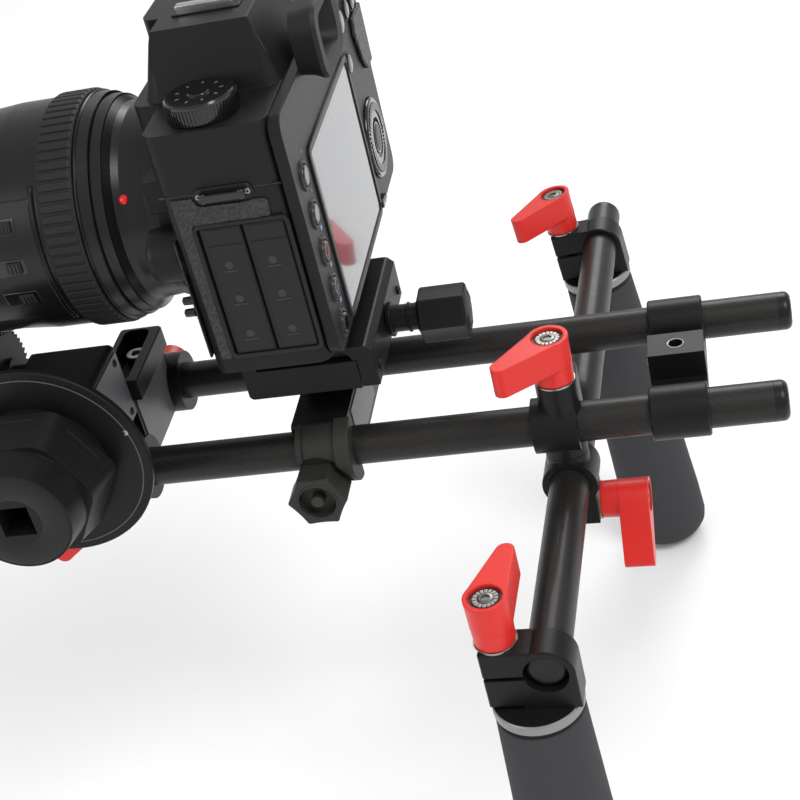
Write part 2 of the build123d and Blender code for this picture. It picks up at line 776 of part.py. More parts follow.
with BuildPart() as bar_end_caps:
    for seam, way in ((bar_near + cap_length, -1), (bar_far - cap_length, 1)):
        cap_plane = Plane(
            origin=bar_frame.from_local_coords((0, seam, 0)),
            x_dir=bar_frame.y_dir * way,
            z_dir=bar_frame.x_dir,
        )
        with BuildSketch(cap_plane):
            with BuildLine():
                Polyline(*end_cap_profile(plug_r), close=True)
            make_face()
        revolve(axis=Axis(cap_plane.origin, cap_plane.x_dir))
save(bar_end_caps, "bar_end_caps")


# ---------------------------------------------------------------- side handles
def handle_frame(along, lean):
    origin = bar_frame.from_local_coords((0, along, 0))
    return frame_at(origin.X, origin.Y, origin.Z, yaw=cross_yaw, lean=lean)


handle_lever_x, handle_seat_z = -15.6, 9.6
handle_clamp_r = 9.8
stem_x = -6.2               # the stem stands under the middle of the clamp, beside the bar
grip_top, grip_bottom = -21.2, -173.5
grip_top_r, grip_r = 15.4, 19.9
core_r = 11.0
core_end = grip_bottom + 6.6


def handle(side, frame):
    stem = seat(frame, stem_x, 0)
    with BuildPart() as clamp:
        with BuildSketch(facing_y(frame, -7.5)):
            Circle(handle_clamp_r)
            with Locations((0, -7.5)):
                Rectangle(2 * handle_clamp_r, 15)
            with Locations((-12.5, (handle_seat_z - 13.6) / 2)):
                Rectangle(17, handle_seat_z + 13.6)
        extrude(amount=-12.6)
        chamfer(clamp.faces().sort_by(Axis(frame.origin, frame.y_dir))[-1].edges(), 0.5)
        chamfer(clamp.faces().sort_by(Axis(frame.origin, frame.y_dir))[0].edges(), 0.5)
        with BuildSketch(facing_z(stem, -19)):
            Circle(15.3)
        extrude(amount=4.2)
        with BuildSketch(facing_y(frame, -20)):
            Circle(rod_r + running)
            with Locations((-15, -1)):
                Rectangle(20, 1.6)
        extrude(amount=-40, mode=Mode.SUBTRACT)
        with BuildSketch(facing_z(frame, handle_seat_z)):
            with Locations((handle_lever_x, 0)):
                Circle(2.5 + running)
        extrude(amount=-20, mode=Mode.SUBTRACT)
    save(clamp, "handle_clamp_" + side)
    with BuildPart() as core:
        with BuildSketch(facing_z(stem, -21)):
            Circle(14.6)
        extrude(amount=2.0)
        with BuildSketch(facing_z(stem, -21)):
            Circle(core_r)
            Circle(core_r - 2, mode=Mode.SUBTRACT)
        extrude(amount=grip_bottom + 28)
    save(core, "handle_core_" + side)
    with BuildPart() as grip:
        with BuildSketch(facing_y(stem)):
            with BuildLine():
                Polyline((core_r + 0.1, grip_top), (grip_top_r, grip_top), (grip_r, -150))
                Line((grip_r, -150), (grip_r, grip_bottom + 9))
                ThreePointArc(
                    (grip_r, grip_bottom + 9), (grip_r - 2.6, grip_bottom + 2.6), (grip_r - 9, grip_bottom)
                )
                Polyline((grip_r - 9, grip_bottom), (0, grip_bottom), (0, core_end), (core_r + 0.1, core_end))
                Line((core_r + 0.1, core_end), (core_r + 0.1, grip_top))
            make_face()
        revolve(axis=Axis(stem.origin, stem.z_dir))
    save(grip, "grip_" + side)


near_handle = handle_frame(handle_near_s, handle_near_lean)
far_handle = handle_frame(handle_far_s, handle_far_lean)
handle("near", near_handle)
handle("far", far_handle)


# ---------------------------------------------------------------- levers of the clamps and the bracket
lever(turned(seat(rod_clamp_frame, boss_x, rod_lever_seat), 225), "lever_rod", "lever_rod_insert")
near_seat = seat(near_handle, handle_lever_x, handle_seat_z)
far_seat = seat(far_handle, handle_lever_x, handle_seat_z)
lever(turned(near_seat, 80), "lever_near", "lever_near_insert", stud=16)
lever(turned(far_seat, 230), "lever_far", "lever_far_insert", stud=16)
bar_lever_seat = Plane(
    origin=bar_frame.from_local_coords((bar_lever_x, 0, bar_lever_z)), x_dir=(0, 0, -1), z_dir=bar_frame.x_dir
)
lever(turned(bar_lever_seat, bar_lever_turn), "lever_bar", "lever_bar_insert", stud=16)


focus_left_seat = Plane(origin=(focus_lever_x, -42.8, 2), x_dir=(-0.69, 0, -0.72), z_dir=(0, -1, 0))
focus_right_seat = Plane(origin=(focus_lever_x, 42.8, -8), x_dir=(-0.84, 0, -0.54), z_dir=(0, 1, 0))
lever(focus_left_seat, "focus_lever_left", stud=5.0)
lever(focus_right_seat, "focus_lever_right", stud=6.0)
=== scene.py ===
import bmesh
import bpy
import json
import math
from mathutils import Matrix, Vector


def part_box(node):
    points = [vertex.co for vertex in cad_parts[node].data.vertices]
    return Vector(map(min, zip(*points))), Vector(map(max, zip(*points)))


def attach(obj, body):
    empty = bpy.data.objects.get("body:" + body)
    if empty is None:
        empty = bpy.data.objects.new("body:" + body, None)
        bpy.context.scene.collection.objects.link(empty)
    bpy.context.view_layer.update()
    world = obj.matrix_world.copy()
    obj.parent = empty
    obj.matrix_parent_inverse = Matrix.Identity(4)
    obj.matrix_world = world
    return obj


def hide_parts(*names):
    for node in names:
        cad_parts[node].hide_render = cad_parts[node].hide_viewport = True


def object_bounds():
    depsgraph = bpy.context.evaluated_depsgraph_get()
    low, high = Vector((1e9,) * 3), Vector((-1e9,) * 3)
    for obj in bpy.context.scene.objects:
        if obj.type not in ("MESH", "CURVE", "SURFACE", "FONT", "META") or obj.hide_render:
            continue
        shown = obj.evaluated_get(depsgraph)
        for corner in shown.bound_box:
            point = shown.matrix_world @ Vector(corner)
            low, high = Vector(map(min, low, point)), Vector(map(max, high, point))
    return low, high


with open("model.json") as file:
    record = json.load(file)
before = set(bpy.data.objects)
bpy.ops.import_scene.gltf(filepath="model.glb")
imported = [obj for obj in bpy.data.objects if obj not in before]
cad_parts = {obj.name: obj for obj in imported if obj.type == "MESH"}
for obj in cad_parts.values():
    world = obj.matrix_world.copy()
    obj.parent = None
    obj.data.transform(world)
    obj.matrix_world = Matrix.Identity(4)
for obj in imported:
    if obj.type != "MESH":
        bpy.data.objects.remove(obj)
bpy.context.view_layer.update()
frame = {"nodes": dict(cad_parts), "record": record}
record = frame["record"]
mm = 0.001
rearward, forward = (1, 0, 0), (-1, 0, 0)
rightward, leftward = (0, 1, 0), (0, -1, 0)
up, down = (0, 0, 1), (0, 0, -1)
axis_r = 0.01                                  # radius in mm that closes a turned profile at its axis


# ------------------------------------------------------------------ materials
def blend(nodes, links, factor, shader, colour, dark, light):
    """Mix a darker and a lighter shade of a colour by a texture, into a shader's base colour."""
    mix = nodes.new("ShaderNodeMix")
    mix.data_type = "RGBA"
    mix.inputs["A"].default_value = (*[c * dark for c in colour], 1)
    mix.inputs["B"].default_value = (*[min(c * light, 1) for c in colour], 1)
    links.new(factor, mix.inputs["Factor"])
    links.new(mix.outputs["Result"], shader.inputs["Base Color"])


def material(name, colour, rough, metal=0.0, spread=0.0, grain=600.0, bump=0.0, bump_scale=900.0,
             edge=0.0, coat=0.0, spec=0.32):
    """Principled material with noise in its roughness, optional surface grain and softened edges."""
    m = bpy.data.materials.new(name)
    m.use_nodes = True
    nodes, links = m.node_tree.nodes, m.node_tree.links
    shader = nodes["Principled BSDF"]
    shader.inputs["Base Color"].default_value = (*colour, 1)
    shader.inputs["Metallic"].default_value = metal
    shader.inputs["Roughness"].default_value = rough
    shader.inputs["Coat Weight"].default_value = coat
    shader.inputs["Specular IOR Level"].default_value = spec
    where = nodes.new("ShaderNodeTexCoord")
    if spread:
        cloud = nodes.new("ShaderNodeTexNoise")
        cloud.inputs["Scale"].default_value = grain
        cloud.inputs["Detail"].default_value = 4
        links.new(where.outputs["Object"], cloud.inputs["Vector"])
        span = nodes.new("ShaderNodeMapRange")
        span.inputs["To Min"].default_value = max(rough - spread, 0.03)
        span.inputs["To Max"].default_value = min(rough + spread, 1.0)
        links.new(cloud.outputs["Fac"], span.inputs["Value"])
        links.new(span.outputs["Result"], shader.inputs["Roughness"])
    normal = None
    if edge:
        soft = nodes.new("ShaderNodeBevel")
        soft.samples = 4
        soft.inputs["Radius"].default_value = edge * mm
        normal = soft.outputs["Normal"]
        links.new(normal, shader.inputs["Normal"])
    if bump:
        fine = nodes.new("ShaderNodeTexNoise")
        fine.inputs["Scale"].default_value = bump_scale
        fine.inputs["Detail"].default_value = 2
        links.new(where.outputs["Object"], fine.inputs["Vector"])
        relief = nodes.new("ShaderNodeBump")
        relief.inputs["Strength"].default_value = bump
        relief.inputs["Distance"].default_value = 0.2 * mm
        links.new(fine.outputs["Fac"], relief.inputs["Height"])
        if normal:
            links.new(normal, relief.inputs["Normal"])
        links.new(relief.outputs["Normal"], shader.inputs["Normal"])
    return m


def leather(name, colour):
    """Pebbled rubber covering: grain raised from a Voronoi texture, with painted shade in its pits and painted
    highlight on its ridges.
    """
    m = material(name, colour, 0.40, spread=0.1, grain=900, spec=0.42)
    nodes, links = m.node_tree.nodes, m.node_tree.links
    shader = nodes["Principled BSDF"]
    where = nodes.new("ShaderNodeTexCoord")
    cells = nodes.new("ShaderNodeTexVoronoi")
    cells.inputs["Scale"].default_value = 820
    relief = nodes.new("ShaderNodeBump")
    relief.inputs["Strength"].default_value = 1.0
    relief.inputs["Distance"].default_value = 0.45 * mm
    links.new(where.outputs["Object"], cells.inputs["Vector"])
    links.new(cells.outputs["Distance"], relief.inputs["Height"])
    links.new(relief.outputs["Normal"], shader.inputs["Normal"])
    # Colour from the same Voronoi distance as the relief: painted shade darkens the pits and painted highlight
    # lightens the ridges.
    blend(nodes, links, cells.outputs["Distance"], shader, colour, 0.5, 2.6)
    return m


def weave(name, colour):
    """Carbon tube: dark satin lacquer over a faint twill."""
    m = material(name, colour, 0.42, spread=0.08, grain=260, coat=0.08, edge=0.3, spec=0.26)
    nodes, links = m.node_tree.nodes, m.node_tree.links
    where = nodes.new("ShaderNodeTexCoord")
    lines = nodes.new("ShaderNodeTexWave")
    lines.inputs["Scale"].default_value = 160
    lines.inputs["Distortion"].default_value = 3.0
    lines.inputs["Detail"].default_value = 3
    lines.bands_direction = "DIAGONAL"
    links.new(where.outputs["Object"], lines.inputs["Vector"])
    blend(nodes, links, lines.outputs["Fac"], nodes["Principled BSDF"], colour, 0.90, 1.12)
    return m


def glass_dark(name, colour, rough):
    """Dark glass with a polished coat."""
    m = material(name, colour, rough, spread=0.01, grain=40, coat=0.6, spec=0.5)
    m.node_tree.nodes["Principled BSDF"].inputs["Coat Roughness"].default_value = 0.03
    return m


# metals
black = material("anodised_black", (0.0085, 0.008, 0.008), 0.38, spread=0.06, bump=0.10, bump_scale=2600,
                 edge=0.4, spec=0.18)
black_soft = material("anodised_dark", (0.006, 0.006, 0.006), 0.5, spread=0.08, bump=0.1, edge=0.35)
# Painted light: a grey copy of the black anodising, put on faces turned to +X towards the key light, as painted
# sheen and reflection.
painted_lit_face = material("anodised_black_painted_lit", (0.12, 0.115, 0.125), 0.36, spread=0.07, bump=0.12, bump_scale=2400,
                     edge=0.3)
olive = material("anodised_olive", (0.026, 0.026, 0.023), 0.48, spread=0.08, bump=0.15, bump_scale=2200,
                 edge=0.5, spec=0.25)
steel = material("steel_insert", (0.34, 0.32, 0.30), 0.30, metal=1.0, spread=0.1, grain=900, edge=0.25)
steel_dark = material("steel_screw", (0.20, 0.19, 0.18), 0.34, metal=1.0, spread=0.1, grain=900, edge=0.25)
ring_grey = material("ring_grey", (0.26, 0.26, 0.27), 0.38, metal=0.6, spread=0.06, grain=900, edge=0.3)
chrome = material("lens_steel", (0.6, 0.6, 0.61), 0.22, metal=1.0, spread=0.06, edge=0.2)
brass = material("contact_brass", (0.75, 0.6, 0.35), 0.3, metal=1.0, spread=0.05)

# tubes, levers and grips
carbon = weave("carbon_tube", (0.014, 0.013, 0.012))
cap_dark = material("cap_plastic", (0.006, 0.006, 0.006), 0.30, spread=0.06, bump=0.05, edge=0.4, spec=0.3)
red = material("lever_red", (0.70, 0.026, 0.020), 0.34, spread=0.05, grain=500, bump=0.08, bump_scale=3000,
               edge=0.9)
foam = material("foam", (0.040, 0.041, 0.044), 0.82, spread=0.08, grain=900, bump=0.5, bump_scale=1500,
                spec=0.35)

# camera and lens
shell = material("camera_shell", (0.009, 0.0088, 0.0085), 0.40, spread=0.06, grain=900, bump=0.3,
                 bump_scale=3600, edge=0.7, spec=0.2)
shell_rim = material("camera_shell_rim", (0.011, 0.011, 0.011), 0.34, spread=0.05, bump=0.12,
                     bump_scale=4200, edge=0.5, spec=0.24)
gloss = material("control_plastic", (0.006, 0.006, 0.007), 0.16, spread=0.04, coat=0.5, edge=0.3)
rubber = material("cover_rubber", (0.014, 0.014, 0.0145), 0.55, spread=0.06, bump=0.12, bump_scale=3600,
                  edge=0.4, spec=0.26)
# The leatherette carries painted shade in the pits and painted highlight on the ridges of its grain.
pebble = leather("leatherette", (0.015, 0.0145, 0.014))
screen = glass_dark("screen", (0.10, 0.105, 0.12), 0.09)
lens_black = material("lens_shell", (0.006, 0.0058, 0.0056), 0.30, spread=0.05, grain=700, bump=0.05,
                      bump_scale=3600, edge=0.3, spec=0.36)
lens_gloss = material("lens_gloss", (0.005, 0.005, 0.005), 0.24, spread=0.05, bump=0.04, edge=0.3, spec=0.24)
lens_glass = glass_dark("lens_glass", (0.01, 0.012, 0.03), 0.04)
gear_black = material("gear_plastic", (0.016, 0.016, 0.016), 0.5, spread=0.06, bump=0.1)

# printed marks
red_dot = material("index_red", (0.75, 0.01, 0.01), 0.18, spread=0.03, coat=0.6)
mark = material("mark_grey", (0.10, 0.10, 0.10), 0.5, spread=0.05)
mark_dark = material("mark_dark", (0.022, 0.022, 0.022), 0.5, spread=0.05)
mark_blue = material("mark_blue", (0.20, 0.33, 0.55), 0.5, spread=0.05)

slots = {
    "anodised_black": black, "anodised_olive": olive, "carbon_tube": carbon, "cap_plastic": cap_dark,
    "lever_red": red, "steel_insert": steel, "foam": foam, "camera_shell": shell, "control_plastic": gloss,
    "cover_rubber": rubber, "screen": screen, "lens_shell": lens_black, "lens_glass": lens_glass,
    "lens_steel": chrome, "gear_plastic": gear_black,
}
slot_of = {row["node"]: row["material_slot"] for row in record["subparts"]}
for node, thing in frame["nodes"].items():
    thing.data.materials.clear()
    thing.data.materials.append(slots[slot_of[node]])


# ------------------------------------------------------------------ mesh helpers
def piece(name, verts, faces, body, look, slot, smooth=True, bevel=0.0, segments=2):
    """Mesh from vertices in metres, riding on a body, with edges rounded by bevel mm."""
    mesh = bpy.data.meshes.new(name)
    mesh.from_pydata([tuple(v) for v in verts], [], faces)
    mesh.validate()
    solid = bmesh.new()
    solid.from_mesh(mesh)
    bmesh.ops.recalc_face_normals(solid, faces=solid.faces)
    solid.to_mesh(mesh)
    solid.free()
    thing = bpy.data.objects.new(name, mesh)
    bpy.context.collection.objects.link(thing)
    mesh.materials.append(look)
    if smooth:
        mesh.polygons.foreach_set("use_smooth", [True] * len(mesh.polygons))
        mesh.set_sharp_from_angle(angle=math.radians(38))
    if bevel:
        round_off = thing.modifiers.new("edges", "BEVEL")
        round_off.width = bevel * mm
        round_off.segments = segments
        round_off.limit_method = "ANGLE"
        round_off.angle_limit = math.radians(35)
    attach(thing, body)
    return thing


def axes_from(direction, hint=up):
    """Unit vectors u, v across a direction and w along it, with u as near the hint as can be."""
    w = Vector(direction).normalized()
    h = Vector(hint)
    if abs(w.dot(h)) > 0.95:
        h = Vector(rearward)
    u = (h - w * h.dot(w)).normalized()
    return u, w.cross(u), w


def lathe(profile, origin, direction, count):
    """Vertices and faces of a closed profile of (along, radius) in mm turned about an axis."""
    u, v, w = axes_from(direction)
    origin = Vector(origin)
    verts, faces = [], []
    for i in range(count):
        angle = 2 * math.pi * i / count
        around = u * math.cos(angle) + v * math.sin(angle)
        verts += [origin + w * (reach * mm) + around * (radius * mm) for reach, radius in profile]
    n = len(profile)
    for i in range(count):
        j = (i + 1) % count
        for k in range(n):
            m = (k + 1) % n
            faces.append((i * n + k, i * n + m, j * n + m, j * n + k))
    return verts, faces


def prism(outline, height, origin, direction, hint=up):
    """A flat outline in mm, in the (u, v) plane of a direction, raised by height mm."""
    u, v, w = axes_from(direction, hint)
    origin = Vector(origin)
    n = len(outline)
    verts = [origin + u * (a * mm) + v * (b * mm) for a, b in outline]
    verts += [p + w * (height * mm) for p in verts]
    faces = [tuple(reversed(range(n))), tuple(range(n, 2 * n))]
    faces += [(i, (i + 1) % n, n + (i + 1) % n, n + i) for i in range(n)]
    return verts, faces


def turned(name, profile, origin, direction, body, look, slot, count=48, **finish):
    """Piece turned from a profile about an axis."""
    return piece(name, *lathe(profile, origin, direction, count), body, look, slot, **finish)


def raised(name, outline, height, origin, direction, hint, body, look, slot, **finish):
    """Piece raised from a flat outline."""
    return piece(name, *prism(outline, height, origin, direction, hint), body, look, slot, **finish)


def join(parts):
    """Several lots of vertices and faces as one."""
    verts, faces = [], []
    for some_verts, some_faces in parts:
        shift = len(verts)
        verts += some_verts
        faces += [tuple(i + shift for i in f) for f in some_faces]
    return verts, faces


def rounded(width, height, radius, steps=5, at=(0, 0)):
    """Rectangle with rounded corners, centred on a point."""
    points = []
    for sx, sy, first in ((1, 1, 0), (-1, 1, 90), (-1, -1, 180), (1, -1, 270)):
        for i in range(steps + 1):
            a = math.radians(first + 90 * i / steps)
            points.append((sx * (width / 2 - radius) + radius * math.cos(a) + at[0],
                           sy * (height / 2 - radius) + radius * math.sin(a) + at[1]))
    return points


def box(a0, b0, a1, b1):
    """Rectangle between two corners."""
    return [(a0, b0), (a1, b0), (a1, b1), (a0, b1)]


def circle(radius, count, at=(0, 0)):
    """Regular polygon of count points round a point."""
    turns = [2 * math.pi * i / count for i in range(count)]
    return [(radius * math.cos(a) + at[0], radius * math.sin(a) + at[1]) for a in turns]


def spokes(count, first=0.0):
    """Unit vectors at equal steps around the Y axis, from an angle in degrees."""
    for i in range(count):
        a = 2 * math.pi * i / count + math.radians(first)
        yield Vector((math.cos(a), 0, math.sin(a)))


def rim(outer, inner, low, high, place, floor=True):
    """Raised band between two outlines with as many points, each put in place from (a, b, height)."""
    n = len(outer)
    verts = [place(a, b, h) for h in (low, high) for a, b in outer + inner]
    faces = []
    for i in range(n):
        j = (i + 1) % n
        faces += [(i, j, 2 * n + j, 2 * n + i), (2 * n + i, 2 * n + j, 3 * n + j, 3 * n + i),
                  (3 * n + i, 3 * n + j, n + j, n + i)]
        if floor:
            faces.append((n + i, n + j, j, i))
    return verts, faces


def bolt(name, origin, direction, radius, body, look=steel, slot="steel_insert", depth=0.9, drive=0.5):
    """Socket-head screw: chamfered head with a hexagon socket, its seat at the origin."""
    u, v, w = axes_from(direction)
    seat = Vector(origin)
    sides = 36
    sixth = math.pi / 3
    head = circle(radius, sides)
    socket = []
    for i in range(sides):
        a = 2 * math.pi * i / sides
        reach = radius * drive * math.cos(sixth / 2) / math.cos((a - math.radians(15)) % sixth - sixth / 2)
        socket.append((reach * math.cos(a), reach * math.sin(a)))
    levels = [(head, 0.0, 1.0), (head, 0.75, 1.0), (head, 1.0, 0.88), (socket, 1.0, 1.0), (socket, 0.25, 1.0)]
    verts = [seat + u * (a * grow * mm) + v * (b * grow * mm) + w * (depth * share * mm)
             for ring, share, grow in levels for a, b in ring]
    faces = []
    for level in range(len(levels) - 1):
        for i in range(sides):
            j = (i + 1) % sides
            low, high = level * sides, (level + 1) * sides
            faces.append((low + i, low + j, high + j, high + i))
    faces.append(tuple(range(len(verts) - sides, len(verts))))
    return piece(name, verts, faces, body, look, slot)


def dark_bolt(name, origin, direction, radius, body, depth):
    """Blackened screw that belongs to an anodised part."""
    return bolt(name, origin, direction, radius, body, look=black_soft, slot="anodised_black", depth=depth)


def middle(node):
    """Centre of a CAD node's box."""
    lo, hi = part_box(node)
    return (lo + hi) / 2


# ------------------------------------------------------------------ lens
barrel_lo, barrel_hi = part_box("lens_barrel")
lens_c = (barrel_lo + barrel_hi) / 2
zoom_lo, zoom_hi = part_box("zoom_ring")
zoom_r = (zoom_hi.y - zoom_lo.y) / 2 / mm
mount_lo, mount_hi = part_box("lens_mount")


def lens_point(x, r, a):
    """Point at a station and radius in mm, at an angle in radians about the lens axis from its right."""
    return Vector((x * mm, lens_c.y + r * mm * math.cos(a), lens_c.z + r * mm * math.sin(a)))


def zoom_rib(number, count, gap=0.11, lean=0.10, rise=0.55, side_drop=0.35):
    """One rib along the zoom ring, with sloping sides and ends."""
    a0 = 2 * math.pi * (number + gap) / count
    a1 = 2 * math.pi * (number + 1 - gap) / count
    slope = lean * (a1 - a0)
    first, last = zoom_lo.x / mm, zoom_hi.x / mm
    verts = []
    for x, r in ((first + 0.2, zoom_r - 0.3), (first + 0.9, zoom_r + rise),
                 (last - 1.3, zoom_r + rise), (last - 0.3, zoom_r - 0.2)):
        verts += [lens_point(x, r - side_drop, a0), lens_point(x, r, a0 + slope),
                  lens_point(x, r, a1 - slope), lens_point(x, r - side_drop, a1)]
    faces = [(p, p + 1, p + 5, p + 4) for k in range(3) for p in range(4 * k, 4 * k + 3)]
    faces += [(0, 1, 2, 3), (15, 14, 13, 12), (0, 4, 8, 12), (15, 11, 7, 3)]
    return verts, faces


rib_count = 72
ribs = [zoom_rib(i, rib_count) for i in range(rib_count)]
piece("zoom_ring_ribs", *join(ribs), "zoom_ring", rubber, "cover_rubber", smooth=False)


def lens_ring(name, start, profile, look, slot="lens_shell"):
    """Ring about the lens axis: (x, radius) in mm, with x counted from a station."""
    shifted = [(start + x - lens_c.x / mm, r) for x, r in profile]
    return turned(name, shifted, lens_c, rearward, "base", look, slot, 120)


seam = zoom_hi.x / mm
lens_ring("lens_collar_rear", seam, [(5.0, 40.2), (5.0, 41.25), (5.35, 41.35), (5.9, 40.6), (5.9, 40.2)],
          lens_gloss)
lens_ring("lens_collar_front", seam, [(0.5, 41.6), (0.5, 42.5), (1.0, 42.6), (1.5, 42.2), (1.5, 41.6)],
          lens_gloss)
front_x = barrel_lo.x / mm
threads = []
for k in range(5):
    x = 0.8 + 1.15 * k
    r = 37.0 - 0.40 * (1 + 1.15 * k)
    threads += [(x, r - 0.12), (x + 0.45, r - 0.75), (x + 0.9, r - 0.16)]
lens_ring("filter_thread", front_x, threads + [(6.6, 35.2), (0.6, 37.4)], lens_gloss)
lens_ring("front_bezel", front_x, [(6.8, 24.2), (6.2, 24.4), (5.6, 27), (5.9, 27.4), (5.2, 30), (5.5, 30.4),
                                   (4.9, 33.6), (6.9, 33.9)], lens_black)
glass_r, glass_sag = 23.0, 3.2
dome = [(3.6 + glass_sag * (r / glass_r) ** 2, r) for r in (axis_r, 3, 6, 9, 12, 15, 18, 21, glass_r)]
lens_ring("front_element", front_x, dome + [(7.2, glass_r), (7.2, axis_r)], lens_glass, "lens_glass")
collar_back, collar_front = mount_hi.x / mm, mount_lo.x / mm
lens_ring("mount_collar", 0, [(collar_back + 0.1, 33.5), (collar_back - 0.1, 36.2), (collar_front - 0.5, 36.2),
                              (collar_front - 0.9, 35.2), (collar_front - 0.9, 33.5)], lens_black)

dot_angle = math.radians(152.6)
dot_r, dot_rise = 1.75, 1.15
dot_profile = [(-1.2, axis_r), (-1.2, dot_r)]
dot_profile += [(dot_rise * math.sin(math.radians(a)), dot_r * math.cos(math.radians(a)))
                for a in (0, 15, 30, 45, 60, 75, 89)]
turned("index_dot", dot_profile, lens_point(mount_lo.x / mm - 8.0, 35.9, dot_angle),
       (0, math.cos(dot_angle), math.sin(dot_angle)), "base", red_dot, "lens_shell", 32)


def on_barrel(name, x0, x1, a0, a1, r0, r1, look, slot="lens_shell", steps=20, bevel=0.3):
    """Curved plate on the lens barrel between two stations in mm and two angles in degrees."""
    verts, faces = [], []
    for i in range(steps + 1):
        a = math.radians(a0 + (a1 - a0) * i / steps)
        verts += [lens_point(x, r, a) for x, r in ((x0, r0), (x0, r1), (x1, r1), (x1, r0))]
    for i in range(steps):
        for k in range(4):
            m = (k + 1) % 4
            faces.append((i * 4 + k, i * 4 + m, i * 4 + 4 + m, i * 4 + 4 + k))
    faces.append((0, 3, 2, 1))
    faces.append(tuple(steps * 4 + k for k in range(4)))
    return piece(name, verts, faces, "base", look, slot, bevel=bevel)


panel_back = zoom_lo.x / mm - 3.2
on_barrel("switch_panel", panel_back - 30, panel_back, 146, 212, 40.5, 42.75, lens_black, bevel=0.5)
on_barrel("switch_panel_rim", panel_back - 0.2, panel_back + 1.4, 140, 218, 40.5, 42.9, lens_gloss)
switch_x = panel_back - 13
for number, a in enumerate((158, 178, 196), 1):
    on_barrel("switch_recess_%d" % number, switch_x - 6.5, switch_x + 6.5, a - 4.2, a + 4.2, 42.4, 42.95,
              gloss, "control_plastic", steps=8)
    on_barrel("switch_slider_%d" % number, switch_x - 0.5, switch_x + 5.0, a - 2.9, a + 2.9, 42.9, 43.7,
              rubber, "cover_rubber", steps=6, bevel=0.25)
    for k in range(3):
        x = switch_x + 0.6 + 1.4 * k
        on_barrel("switch_grip_%d_%d" % (number, k + 1), x, x + 0.6, a - 2.5, a + 2.5, 43.6, 43.95,
                  gloss, "control_plastic", steps=4, bevel=0.08)
on_barrel("barrel_seam", front_x + 24.0, front_x + 24.5, 0, 359.9, 40.6, 41.5, lens_gloss, steps=120, bevel=0.1)

# ------------------------------------------------------------------ camera, left side
body_lo, body_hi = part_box("camera_body")
top_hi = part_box("camera_top")[1]
left, right = body_lo.y / mm, body_hi.y / mm
bottom, shoulder = body_lo.z / mm, body_hi.z / mm
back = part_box("camera_back")[1].x / mm
front = back - 46.0                            # face of the body beside the lens
plate_front = front - 10.5                     # face of the step that carries the lens
cover_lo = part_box("port_cover_front")[0]
cover_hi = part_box("port_cover_rear")[1]
cx0, cx1 = cover_lo.x / mm, cover_hi.x / mm
cz0, cz1 = cover_lo.z / mm, cover_hi.z / mm


def on_left(outline, height, y):
    """Outline of (x, z) raised out of the camera's left face from a height y."""
    return prism([(z, -x) for x, z in reversed(outline)], height, (0, y * mm, 0), leftward)


strip = [(cx0 - 6.0, cz1 + 11.6), (cx0 - 5.6, bottom + 6.5), (cx0 - 2.2, bottom + 6.0), (cx0 - 1.4, bottom + 8.5),
         (cx0 - 1.4, cz1 + 0.6), (cx0 - 0.8, cz1 + 1.6), (cx1 - 3.6, cz1 + 1.9), (cx1 - 3.4, cz1 + 7.6),
         (cx1 - 4.2, cz1 + 8.4), (cx1 - 8.0, cz1 + 8.6), (cx1 - 9.4, cz1 + 8.2), (cx0 + 3.6, cz1 + 8.4),
         (cx0 + 2.4, cz1 + 9.4), (cx0 + 1.4, cz1 + 11.6)]
piece("side_leather", *on_left(strip, 0.7, left), "base", pebble, "cover_rubber", bevel=0.25)

port_c = ((cx0 + cx1) / 2, (cz0 + cz1) / 2)
port_wide, port_high = cx1 - cx0 + 0.7, cz1 - cz0 + 0.7
rim_wide, rim_r = 1.5, 1.2
port_outer = rounded(port_wide + 2 * rim_wide, port_high + 2 * rim_wide, rim_r + rim_wide, at=port_c)
port_inner = rounded(port_wide, port_high, rim_r, at=port_c)
piece("port_rim", *rim(port_outer, port_inner, 0, 1.1, lambda x, z, h: Vector((x, left - h, z)) * mm),
      "base", shell_rim, "camera_shell", bevel=0.25)
hinge_gap = 1.9                                # keeps the raised panels off the shell as a cover swings
for side in ("front", "rear"):
    node = "port_cover_" + side
    lo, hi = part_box(node)
    x0, x1, y0 = lo.x / mm, hi.x / mm, lo.y / mm
    low = box(x0 + hinge_gap, cz0 + 0.6, x1 - 0.4, cz1 - 6.6)
    high = box(x0 + hinge_gap, cz1 - 5.9, x1 - 0.4, cz1 - 0.6)
    piece("cover_panel_" + side, *on_left(low, 0.35, y0 + 0.05), node, rubber, "cover_rubber", bevel=0.15)
    piece("cover_tab_" + side, *on_left(high, 0.2, y0 + 0.05), node, rubber, "cover_rubber", bevel=0.15)
    x = (x0 + x1) / 2
    for k, z in enumerate((cz1 - 14, cz1 - 27, cz1 - 41), 1):
        marks = [on_left(circle(1.5, 24, (x, z)), 0.12, y0 - 0.29),
                 on_left(box(x - 2.6, z - 2.6, x + 2.6, z - 2.0), 0.12, y0 - 0.29)]
        piece("cover_mark_%s_%d" % (side, k), *join(marks), node, gloss, "control_plastic", smooth=False)

